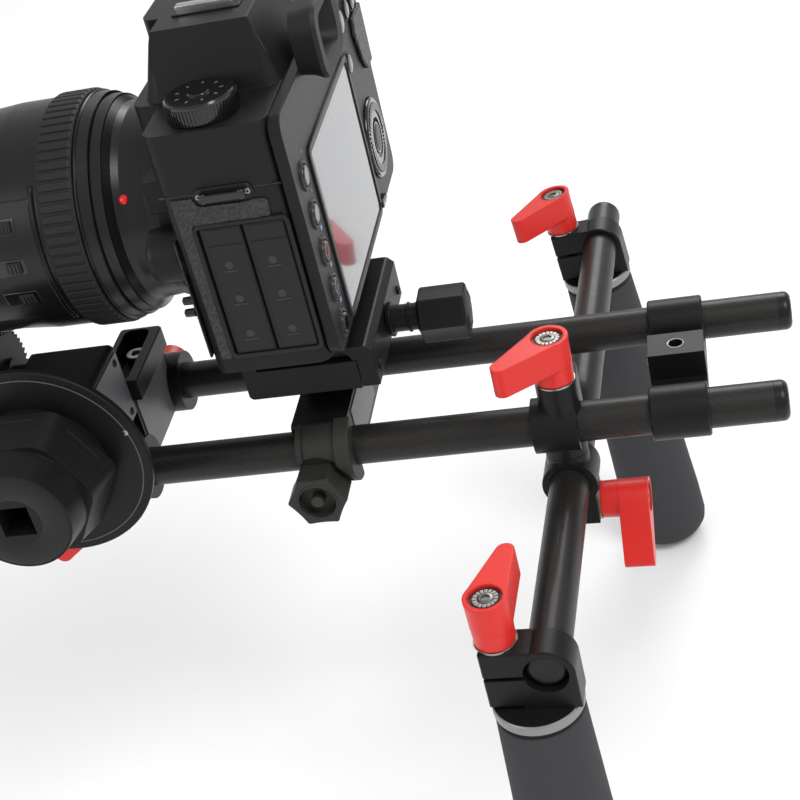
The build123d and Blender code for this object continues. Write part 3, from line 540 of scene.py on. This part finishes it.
for side, x, y, out in (("left", 1.0, left, leftward), ("right", -4.0, right, rightward)):
    o = Vector((x, y, shoulder - 0.6)) * mm
    outward = Vector(out) * mm
    raised("strap_lug_seat_" + side, rounded(5.6, 20.5, 2.7), 0.8, o, out, up, "base", shell_rim, "camera_shell",
           bevel=0.3)
    loop = [prism(rounded(3.6, 2.4, 1.0, at=(0, a)), 3.2, o, out) for a in (-6.6, 6.6)]
    loop.append(prism(rounded(2.6, 15.2, 1.2), 1.2, o + outward * 2.1, out))
    piece("strap_lug_" + side, *join(loop), "base", gloss, "control_plastic", bevel=0.35)
    for k, a in enumerate((-8.4, 8.4), 1):
        bolt("strap_lug_screw_%s_%d" % (side, k), o + outward * 0.6 + Vector((a * mm, 0, 0)), out, 1.0, "base",
             depth=0.5)

raised("shoulder_seam", box(front, left - 0.06, back - 4.2, left + 0.4), 0.35, (0, 0, (shoulder + 0.1) * mm), up,
       rearward, "base", gloss, "camera_shell", smooth=False)

# ------------------------------------------------------------------ camera, back
screen_lo, screen_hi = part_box("screen_glass")


def on_back(outline, height, x=back):
    """Outline of (y, z) raised out of the camera's back from a station x."""
    return prism([(z, -y) for y, z in outline], height, (x * mm, 0, 0), rearward)


screen_c = ((screen_lo.y + screen_hi.y) / 2 / mm, (screen_lo.z + screen_hi.z) / 2 / mm)
screen_wide, screen_high = (screen_hi.y - screen_lo.y) / mm, (screen_hi.z - screen_lo.z) / mm
screen_outer = rounded(screen_wide + 5.6, screen_high + 5.6, 4, at=screen_c)
screen_inner = rounded(screen_wide + 0.5, screen_high + 0.5, 2, at=screen_c)
piece("screen_rim", *rim(screen_outer, screen_inner, -0.3, 0.9, lambda y, z, h: Vector((back + h, y, z)) * mm,
                         floor=False), "base", shell_rim, "camera_shell", bevel=0.3)
view_area = rounded(screen_wide - 4, screen_high - 4, 1.0, at=screen_c)
piece("screen_window", *on_back(view_area, 0.15, screen_hi.x / mm - 0.1), "base", screen, "screen", smooth=False)

for k in range(1, 6):
    node = "back_button_%d" % k
    centre = middle(node)
    y, z = centre.y / mm, centre.z / mm
    turned("button_bezel_%d" % k, [(-0.2, 3.9), (0.7, 4.0), (0.9, 4.3), (0.7, 5.0), (-0.2, 5.6)],
           (back * mm, centre.y, centre.z), rearward, "base", shell_rim, "camera_shell")
    turned("button_dish_%d" % k, [(-0.3, axis_r), (-0.05, 1.6), (0.12, 2.5), (0.05, 2.9), (-0.3, 2.9)],
           (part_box(node)[1].x, centre.y, centre.z), rearward, node, gloss, "control_plastic", 40)
    bar = box(y + 3.2, z + 6.0, y + 5.2, z + 7.6)
    piece("button_mark_%d" % k, *on_back(bar, 0.12), "base", mark_blue if k <= 3 else mark, "control_plastic",
          smooth=False)

dial = middle("rear_dial")
o = Vector((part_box("rear_dial")[1].x, dial.y, dial.z))
teeth = []
for i in range(48):
    a = 2 * math.pi * i / 48
    out = Vector((0, math.cos(a), math.sin(a)))
    teeth.append(prism(rounded(1.0, 3.2, 0.3, 2), 0.5, o + out * 12.4 * mm - Vector((0.15 * mm, 0, 0)), rearward,
                       (0, -out.z, out.y)))
piece("rear_dial_teeth", *join(teeth), "rear_dial", gloss, "control_plastic", smooth=False)
turned("rear_dial_centre", [(-0.9, axis_r), (0.25, axis_r), (0.35, 3.0), (0.2, 5.2), (-0.2, 5.9), (-0.9, 5.9)],
       o, rearward, "rear_dial", shell_rim, "control_plastic")

eye = Vector((back, left + 57, top_hi.z / mm - 16)) * mm
cup, window = rounded(38, 26, 8), rounded(20, 13, 4)
levels = ((-0.5, cup, 0.86), (4.0, cup, 0.9), (8.0, cup, 1.0), (9.5, cup, 0.97), (9.2, window, 1.28),
          (3.0, window, 1.0))
verts = [eye + Vector((h, a * grow, b * grow)) * mm for h, ring, grow in levels for a, b in ring]
n = len(cup)
faces = [(level * n + i, level * n + n + i, level * n + n + (i + 1) % n, level * n + (i + 1) % n)
         for level in range(len(levels) - 1) for i in range(n)]
faces.append(tuple(range(len(verts) - n, len(verts))))
piece("eyecup", verts, faces, "base", rubber, "cover_rubber")
raised("finder_window", rounded(11, 17, 2), 0.6, eye + Vector((3.1 * mm, 0, 0)), rearward, up, "base", lens_glass,
       "lens_glass", bevel=0.2)
for k, (y, z, r) in enumerate(((54, 134, 4.2), (67, 134, 3.4), (79, 133, 3.4), (52, 118, 3.6)), 1):
    o = Vector((back, y, z)) * mm
    turned("rear_control_%d" % k, [(-0.3, axis_r), (1.5, axis_r), (1.7, r * 0.6), (1.2, r), (-0.3, r)],
           o, rearward, "base", gloss, "control_plastic", 40)
    turned("rear_control_bezel_%d" % k, [(-0.2, r + 0.3), (0.6, r + 0.4), (0.8, r + 0.8), (-0.2, r + 1.6)],
           o, rearward, "base", shell_rim, "camera_shell", 40)
thumb = [(80, 104), (90, 104), (90.5, 128), (72, 128), (70, 122), (74, 110)]
piece("thumb_rest", *on_back(thumb, 1.6), "base", pebble, "cover_rubber", bevel=0.7, segments=3)
piece("door_nub", *on_back(rounded(10, 2.6, 1.2, at=(54, 58.4)), 1.6), "base", gloss, "control_plastic",
      bevel=0.4)

# ------------------------------------------------------------------ camera, top
shoe_z = top_hi.z / mm
deck = 146.0                                   # height of the deck right of the finder housing


def on_top(outline, height, z):
    """Outline of (x, y) raised upwards from a height z."""
    return prism(outline, height, (0, 0, z * mm), up, rearward)


piece("hot_shoe_base", *on_top(rounded(24, 22, 1.0, at=(-3, 0)), 0.8, shoe_z - 0.2), "base", black, "lens_steel",
      bevel=0.2)
rails = []
for y in (-9.8, 9.8):
    lip = y - math.copysign(1.3, y)
    rails.append(on_top(rounded(20, 1.4, 0.3, 2, at=(-3, y)), 2.9, shoe_z + 0.4))
    rails.append(on_top(rounded(20, 3.4, 0.3, 2, at=(-3, lip)), 0.9, shoe_z + 2.4))
piece("hot_shoe_rails", *join(rails), "base", chrome, "lens_steel", bevel=0.15)
for k, (x, y) in enumerate(((-3, 0), (-9, 3.2), (-9, -3.2), (2, 3.2)), 1):
    turned("shoe_contact_%d" % k, [(0.5, axis_r), (0.75, axis_r), (0.75, 0.9), (0.5, 1.0)],
           Vector((x, y, shoe_z)) * mm, up, "base", brass, "lens_steel", 24)

dial_lo, dial_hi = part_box("mode_dial")
dial_c = Vector(((dial_lo.x + dial_hi.x) / 2, (dial_lo.y + dial_hi.y) / 2, dial_hi.z))
flutes = []
for i in range(60):
    a = 2 * math.pi * i / 60
    out = Vector((math.cos(a), math.sin(a), 0))
    flutes.append(prism(rounded(5.0, 0.62, 0.2, 2), 0.4, dial_c - Vector((0, 0, 4.0 * mm)) + out * 11.9 * mm, out))
piece("mode_dial_knurl", *join(flutes), "mode_dial", gloss, "control_plastic", smooth=False)
turned("mode_dial_cap", [(-0.4, axis_r), (0.5, axis_r), (0.5, 3.6), (0.2, 3.9), (-0.4, 3.9)],
       dial_c, up, "mode_dial", gloss, "control_plastic", 40)
for i in range(9):
    a = math.radians(40 * i + 12)
    out = Vector((math.cos(a), math.sin(a), 0))
    raised("mode_dial_mark_%d" % (i + 1), rounded(1.4, 0.7, 0.2, 2), 0.14,
           dial_c + out * 7.6 * mm - Vector((0, 0, 0.05 * mm)), up, out, "mode_dial", mark, "control_plastic",
           smooth=False)

status_c = (-1, 60)
piece("status_window_rim", *on_top(rounded(29, 37, 3, at=status_c), 0.7, deck - 0.2), "base", shell_rim,
      "camera_shell", bevel=0.25)
piece("status_window", *on_top(rounded(26, 34, 2.0, at=status_c), 0.5, deck + 0.4), "base", screen, "screen",
      bevel=0.15)
for k, y in enumerate((52, 61, 70), 1):
    turned("deck_button_%d" % k, [(-0.2, axis_r), (1.1, axis_r), (1.2, 1.6), (0.8, 2.3), (-0.2, 2.3)],
           Vector((-19, y, deck)) * mm, up, "base", gloss, "control_plastic", 32)
wheel_c = Vector((-33, 66, deck - 4.4)) * mm
wheel = [prism(rounded(6.0, 0.8, 0.2, 2), 0.6, wheel_c + out * 5.9 * mm, out, rightward) for out in spokes(36)]
wheel.append(lathe([(-3, axis_r), (-3, 6.0), (3, 6.0), (3, axis_r)], wheel_c, rightward, 48))
piece("main_dial", *join(wheel), "base", gloss, "control_plastic", smooth=False)
shutter = middle("shutter_button")
turned("shutter_collar", [(-0.2, 5.4), (0.9, 5.6), (1.1, 6.2), (0.7, 7.6), (-0.2, 8.2)],
       (shutter.x, shutter.y, deck * mm), up, "base", shell_rim, "camera_shell")

# ------------------------------------------------------------------ camera, front and right side
rel_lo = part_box("lens_release")[0]
rel = middle("lens_release")
turned("release_collar", [(-0.2, 7.5), (1.5, 7.7), (1.9, 8.1), (1.5, 9.2), (-0.2, 9.4)],
       (plate_front * mm, rel.y, rel.z), forward, "base", shell_rim, "camera_shell", 56)
turned("release_dish", [(-0.5, axis_r), (0.05, axis_r), (0.25, 4.5), (0.45, 5.6), (0.0, 6.1), (-0.5, 6.1)],
       (rel_lo.x, rel.y, rel.z), forward, "lens_release", gloss, "control_plastic")
for k, (dy, dz) in enumerate(((4.5, -21.5), (3.0, -25.5)), 1):
    turned("front_pin_%d" % k, [(0, axis_r), (2.6, axis_r), (3.0, 0.9), (2.6, 1.5), (-1, 1.6)],
           ((plate_front + 3.5) * mm, rel.y + dy * mm, rel.z + dz * mm), forward, "base", gloss,
           "control_plastic", 24)
grip_covers = (
    ("grip_cover_front", (58, 27, 4), (88, 74), 0.7, (body_lo.x, 0, 0), forward, 0.3),
    ("grip_cover_right", (58, 30, 4), (88, -30), 0.7, (0, body_hi.y, 0), rightward, 0.3),
    ("front_cover_left", (46, 9.0, 1.2), (84, -51.5), 0.6, (front * mm, 0, 0), forward, 0.25),
)
for name, (high, wide, radius), at, height, origin, out, bevel in grip_covers:
    raised(name, rounded(high, wide, radius, at=at), height, origin, out, up, "base", pebble, "cover_rubber",
           bevel=bevel)
turned("timer_lamp", [(-0.3, axis_r), (1.0, axis_r), (0.8, 1.8), (0.3, 2.4), (-0.3, 2.4)],
       Vector((front, 46, 112)) * mm, forward, "base", red_dot, "control_plastic", 32)

# ------------------------------------------------------------------ quick release
plate_lo, plate_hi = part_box("camera_plate")
plate_c = middle("camera_plate") / mm
piece("plate_pad", *on_top(rounded(38.6, 57, 2, at=plate_c), 1.0, plate_hi.z / mm - 1.0), "base", rubber,
      "cover_rubber", bevel=0.2)
bolt("plate_screw", (plate_hi.x, plate_lo.y + 6.5 * mm, plate_hi.z - 7.0 * mm), rearward, 1.6, "base", depth=0.7)
jaw_lo, jaw_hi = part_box("qr_jaw")
qb_lo, qb_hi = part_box("qr_base")
for k, y in enumerate((qb_lo.y + 6 * mm, qb_hi.y - 6 * mm), 1):
    dark_bolt("base_plate_screw_%d" % k, (qb_lo.x, y, qb_lo.z + 4.5 * mm), forward, 2.0, "base", 0.9)
    dark_bolt("jaw_screw_%d" % k, (jaw_hi.x, y, jaw_lo.z + 5 * mm), rearward, 1.8, "qr_jaw", 0.9)
knob_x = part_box("qr_knob")[1].x
knob_c = middle("qr_knob")
for name, x, profile in (
        ("qr_knob_face", knob_x, [(-0.4, axis_r), (0.35, axis_r), (0.35, 6.0), (0.0, 6.6), (0.35, 7.1), (0.2, 8.0),
                                  (-0.4, 8.2)]),
        ("qr_shaft_collar", jaw_hi.x + 0.4 * mm, [(0, 5.2), (0.2, 6.6), (1.8, 6.9), (2.2, 6.5), (2.2, 5.2)]),
        ("qr_shaft_ring", knob_x - 23.5 * mm, [(0, 5.2), (0.3, 5.8), (1.0, 5.8), (1.3, 5.2)])):
    turned(name, profile, (x, knob_c.y, knob_c.z), rearward, "qr_knob", black, "anodised_black", 56)

# ------------------------------------------------------------------ base block and its knob
block_lo, block_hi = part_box("base_block")
# The grey plate on the block's +X face is painted light: the lit sheen of its black anodising, not a grey part.
piece("block_face_painted_lit", *on_back(box(-18.5, -10.5, 20.0, 8.2), 0.35, block_hi.x / mm), "base", painted_lit_face,
      "anodised_black", bevel=0.15)
bk_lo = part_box("base_knob")[0]
bk = middle("base_knob")
bolt("base_knob_screw", (bk.x, bk_lo.y + 4.1 * mm, bk.z), leftward, 2.25, "base_knob", look=olive,
     slot="anodised_olive", depth=2.6, drive=0.55)
turned("base_knob_lip", [(0.0, 7.0), (0.35, 7.2), (0.35, 7.7), (0.0, 8.0), (-0.3, 7.6)],
       (bk.x, bk_lo.y, bk.z), leftward, "base_knob", olive, "anodised_olive", 56)
for name, y in (("stud_end", block_hi.y - 6.0 * mm), ("stud_end_left", block_lo.y + 12.0 * mm)):
    dark_bolt(name, (0, y, block_lo.z), down, 2.2, "base", 0.6)

# ------------------------------------------------------------------ rear bridge
br_lo, br_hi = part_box("rear_bridge")
bridge_x = middle("rear_bridge").x
turned("bridge_thread_rim", [(-0.1, 2.65), (0.05, 2.7), (0.12, 3.0), (0.05, 3.15), (-0.1, 3.15)],
       (bridge_x, 0, br_hi.z), up, "rods", steel, "steel_insert")
for k, y in enumerate((-30, 30), 1):
    dark_bolt("bridge_screw_%d" % k, (bridge_x, y * mm, br_lo.z + 0.3 * mm), down, 2.0, "rods", 0.7)
for k, y in enumerate((-4.6, 4.6), 1):
    bolt("bridge_pin_%d" % k, (br_lo.x, y * mm, 6.0 * mm), forward, 1.1, "rods", depth=0.4)

# ------------------------------------------------------------------ levers
joint_of = {joint["name"]: joint for joint in record["behaviour"]["joints"]}
recess_r = 5.2


def along(node, point, direction):
    """Lowest and highest reach of a node's mesh along a direction, in metres from a point."""
    reaches = [(v.co - point).dot(direction) for v in frame["nodes"][node].data.vertices]
    return min(reaches), max(reaches)


def lever_screw(name, seat, axis, body):
    """Serrated steel insert with its socket screw, in the dark recess of a lever's head."""
    u, v, w = axes_from(axis)
    teeth = []
    for i in range(16):
        a = 2 * math.pi * i / 16
        out = u * math.cos(a) + v * math.sin(a)
        teeth.append(prism([(-0.8, -0.5), (0.7, -0.62), (0.7, 0.62), (-0.8, 0.5)], 0.45,
                           seat + out * (recess_r - 1.6) * mm, axis, out))
    piece(name + "_serration", *join(teeth), body, steel, "steel_insert", smooth=False)
    turned(name + "_recess_floor", [(0.0, axis_r), (0.14, axis_r), (0.14, recess_r), (0.0, recess_r)],
           seat, axis, body, black_soft, "anodised_black", 56)
    bolt(name + "_screw", seat, axis, 2.7, body, look=steel_dark, depth=0.7, drive=0.62)


for name in ("lever_rod", "lever_bar", "lever_near", "lever_far"):
    joint = joint_of[name + "_turn"]
    point, axis = Vector(joint["pos_m"]), Vector(joint["axis"]).normalized()
    insert_top = along(name + "_insert", point, axis)[1]
    lever_screw(name, point + axis * (insert_top - 0.05 * mm), axis, name)
    turned(name + "_rim", [(-0.5, 5.72), (0.0, 5.78), (0.12, 6.0), (0.0, 6.3), (-0.5, 6.3)],
           point + axis * along(name, point, axis)[1], axis, name, red, "lever_red", 56)

# ------------------------------------------------------------------ handles
taper, taper_steps, step_length = 4.5, 8, 16.0
for side in ("near", "far"):
    body = "handle_" + side
    tilt = joint_of["handle_%s_tilt" % side]
    stem = Vector(joint_of["lever_%s_turn" % side]["axis"]).normalized()
    pivot = Vector(tilt["pos_m"])
    across = Vector(tilt["axis"]).normalized().cross(stem)
    edge_lo, edge_hi = along("grip_" + side, pivot, across)
    centre = pivot + across * ((edge_lo + edge_hi) / 2)
    low, high = [reach / mm for reach in along("grip_" + side, centre, stem)]
    wide = (edge_hi - edge_lo) / 2 / mm
    slim = wide - taper
    outline = [(high, 12.0), (high, slim - 0.8), (high - 0.3, slim - 0.25), (high - 1.0, slim)]
    outline += [(high - 1.0 - step_length * k, slim + taper * k / taper_steps) for k in range(1, taper_steps + 1)]
    outline += [(low + 9, wide), (low + 5.2, wide - 0.8), (low + 2.4, wide - 2.8), (low + 0.7, wide - 6.0),
                (low, wide - 9.6), (low, axis_r), (low + 6, axis_r), (low + 7, 10.6)]
    soft = turned("foam_grip_" + side, outline, centre, stem, body, foam, "foam", 96)
    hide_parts("grip_" + side)
    ring = [(2.1, 12.0), (2.1, slim - 0.1), (2.5, slim + 0.3), (5.7, slim + 0.3), (6.2, slim - 0.1), (6.2, 12.0)]
    turned("grip_ring_" + side, [(high + reach, r) for reach, r in ring], centre, stem, body, ring_grey,
           "anodised_black", 96)

# ------------------------------------------------------------------ follow focus, bracket and gearbox
gb_lo, gb_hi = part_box("focus_gearbox")
arm_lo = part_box("focus_arm")[0]
# The grey plate on the gearbox's +X face is painted light: the lit sheen of its black anodising, not a grey part.
painted_lit_side = box(gb_lo.y / mm + 1.5, gb_lo.z / mm + 2.6, gb_hi.y / mm - 1.2, gb_hi.z / mm - 2.6)
piece("gearbox_side_painted_lit", *on_back(painted_lit_side, 0.5, gb_hi.x / mm), "focus_bracket", painted_lit_face, "anodised_black",
      bevel=0.2)
corners = [(y, z) for z in (gb_hi.z - 5.5 * mm, gb_lo.z + 5.5 * mm) for y in (gb_lo.y + 5 * mm, gb_hi.y - 5 * mm)]
for k, (y, z) in enumerate(corners, 1):
    dark_bolt("gearbox_screw_%d" % k, (gb_hi.x + 0.45 * mm, y, z), rearward, 1.5, "focus_bracket", 0.5)
bracket = frame["nodes"]["focus_bracket"].data.vertices
bracket_face = max(v.co.x for v in bracket if abs(v.co.y) < 17 * mm)
# The grey plate on the bracket's +X face is painted light: the lit sheen and reflection of its black anodising,
# not a grey part.
piece("bracket_face_painted_lit", *on_back(box(-14, -6, 25, 20.5), 0.45, bracket_face / mm), "focus_bracket", painted_lit_face,
      "anodised_black", bevel=0.2)
bolt("arm_screw", (middle("focus_arm").x, 12 * mm, arm_lo.z + 0.2 * mm), up, 4.4, "focus_bracket", depth=4.5)

# ------------------------------------------------------------------ follow focus, disc, wheel and gear
fd_lo, fd_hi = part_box("focus_disc")
fd = (fd_lo + fd_hi) / 2
disc_r = (fd_hi.x - fd_lo.x) / 2 / mm
disc_c = Vector((fd.x, fd_lo.y, fd.z))
turned("disc_ring_line", box(-0.05, disc_r - 3.6, 0.08, disc_r - 3.2), disc_c, leftward, "focus_disc", mark,
       "anodised_black", 128, smooth=False)
ticks = []
for i, out in enumerate(spokes(72)):
    half = 0.8 if i % 6 == 0 else 0.4
    ticks.append(prism(box(-half, -0.09, half, 0.09), 0.1,
                       disc_c + Vector((0, 0.03 * mm, 0)) + out * (disc_r - 2.0) * mm, leftward, out))
piece("disc_ticks", *join(ticks), "focus_disc", mark_dark, "anodised_black", smooth=False)
index = next(spokes(1, 16))
turned("disc_dot", [(-0.1, axis_r), (0.35, axis_r), (0.3, 0.8), (0.1, 1.1), (-0.1, 1.1)],
       disc_c + index * 36.0 * mm, leftward, "focus_disc", steel, "steel_insert", 32)
wheel_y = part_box("focus_wheel")[0].y
turned("wheel_face_ring", [(-0.4, 9.4), (0.0, 9.4), (0.35, 10.0), (0.35, 18.2), (0.0, 19.0), (-0.6, 19.4)],
       (fd.x, wheel_y, fd.z), leftward, "focus_wheel", black_soft, "anodised_black", 96)
ribs = []
for out in spokes(6, 30):
    for row in range(5):
        y = wheel_y + (14.5 + 2.6 * row) * mm
        r = (21.9 + 0.75 * row) * mm
        ribs.append(prism(rounded(1.1, 15.0, 0.5, 3), 0.5, Vector((fd.x, y, fd.z)) + out * r, out, rightward))
piece("wheel_grip_ribs", *join(ribs), "focus_wheel", rubber, "cover_rubber", smooth=False)
gear_c = middle("drive_gear")
gear_face = (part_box("drive_gear")[0].x, gear_c.y, gear_c.z)
turned("drive_gear_hub", [(-0.1, 3.0), (1.6, 3.0), (1.6, 6.5), (1.2, 7.2), (-0.1, 7.4)],
       gear_face, forward, "drive_gear", black, "anodised_black", 56)
bolt("drive_gear_screw", gear_face, forward, 2.8, "drive_gear", depth=1.2)

# ------------------------------------------------------------------ follow focus, levers
for side, out in (("left", Vector(leftward)), ("right", Vector(rightward))):
    body = "focus_lever_" + side
    hub = Vector(joint_of[body + "_turn"]["pos_m"])
    hub.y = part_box(body)[0 if side == "left" else 1].y
    turned("focus_lever_cap_" + side, [(-2.4, axis_r), (-1.0, axis_r), (-1.0, 5.5), (-2.4, 5.5)],
           hub, out, body, black_soft, "anodised_black")
    lever_screw(body, hub - out * 1.0 * mm, out, body)

# ------------------------------------------------------------------ floor and light
floor_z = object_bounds()[0].z - 0.5 * mm
bpy.ops.mesh.primitive_plane_add(size=40, location=(0, 0, floor_z))
floor = bpy.context.object
floor.name = "floor"
floor.data.materials.append(material("floor", (0.93, 0.93, 0.93), 0.9, spread=0.02, grain=3))

scene = bpy.context.scene
scene.world = scene.world or bpy.data.worlds.new("studio")
scene.world.use_nodes = True
sky = scene.world.node_tree.nodes["Background"]
sky.inputs["Color"].default_value = (1, 1, 1, 1)
sky.inputs["Strength"].default_value = 0.62


def area(name, place, size, power, target=(0, 0, 0.02)):
    """Round area light, in metres and watts, that faces the rig."""
    light = bpy.data.lights.new(name, "AREA")
    light.shape = "DISK"
    light.size = size
    light.energy = power
    thing = bpy.data.objects.new(name, light)
    bpy.context.collection.objects.link(thing)
    thing.location = place
    thing.rotation_mode = "QUATERNION"
    thing.rotation_quaternion = (Vector(target) - Vector(place)).to_track_quat("-Z", "Y")


area("key", (0.9, -0.6, 1.5), 0.9, 18)
area("fill", (-1.3, -1.2, 0.9), 1.2, 7)
area("back", (0.3, 1.6, 1.2), 1.0, 15)

# ------------------------------------------------------------------ camera
cam = bpy.data.cameras.new("camera")
cam.lens = 71.49
cam.sensor_width = 36
cam.clip_start = 0.02
cam.clip_end = 60
eye_point = bpy.data.objects.new("camera", cam)
bpy.context.collection.objects.link(eye_point)
to_right = Vector((0.97053, 0.11811, -0.21005))
to_bottom = Vector((-0.10731, -0.56863, -0.81557))
ahead = Vector((-0.21577, 0.81407, -0.53919))
eye_point.rotation_mode = "QUATERNION"
eye_point.rotation_quaternion = Matrix((to_right, -to_bottom, -ahead)).transposed().to_quaternion()
eye_point.location = (0.1605, -0.5075, 0.3343)
scene.camera = eye_point

scene.view_settings.view_transform = "Standard"
scene.view_settings.look = "None"
